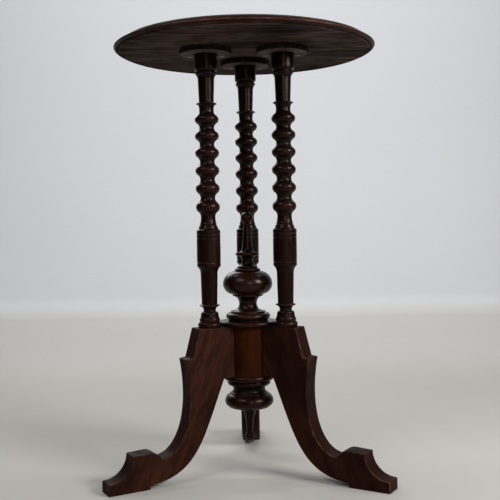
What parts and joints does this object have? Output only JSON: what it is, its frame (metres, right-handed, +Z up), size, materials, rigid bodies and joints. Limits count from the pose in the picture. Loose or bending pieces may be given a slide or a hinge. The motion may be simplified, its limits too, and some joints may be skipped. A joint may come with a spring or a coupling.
{
  "type": "lamp table",
  "caption": "Tall occasional table for a lamp: a round moulded top on bobbin-turned columns, scroll-sawn tripod legs round a turned hub, with a finial above and a pendant below.",
  "frame": {"origin": "on the floor, on the axis of the hub, midway between the three feet", "axes": "+Z up along the hub's axis, the rear leg points along +Y, +X is to the right of someone in front of the table"},
  "size_m": [0.4812, 0.493, 0.746],
  "materials": {
    "top_wood": "polished",
    "turned_wood": "polished",
    "leg_wood": "polished",
    "hub_wood": "polished",
    "dowel_wood": "matte",
    "screw_metal": "aged"
  },
  "bodies": {
    "root": {"top_front_board": "top_wood", "top_rear_board": "top_wood", "top_dowels": "dowel_wood", "left_plate": "turned_wood", "right_plate": "turned_wood", "rear_plate": "turned_wood", "plate_screws": "screw_metal", "left_column": "turned_wood", "right_column": "turned_wood", "rear_column": "turned_wood", "left_leg": "leg_wood", "right_leg": "leg_wood", "rear_leg": "leg_wood", "hub": "hub_wood", "hub_disc": "turned_wood", "finial_vase": "turned_wood", "finial_spire": "turned_wood", "pendant": "turned_wood", "pendant_drop": "turned_wood"}
  },
  "joints": []
}
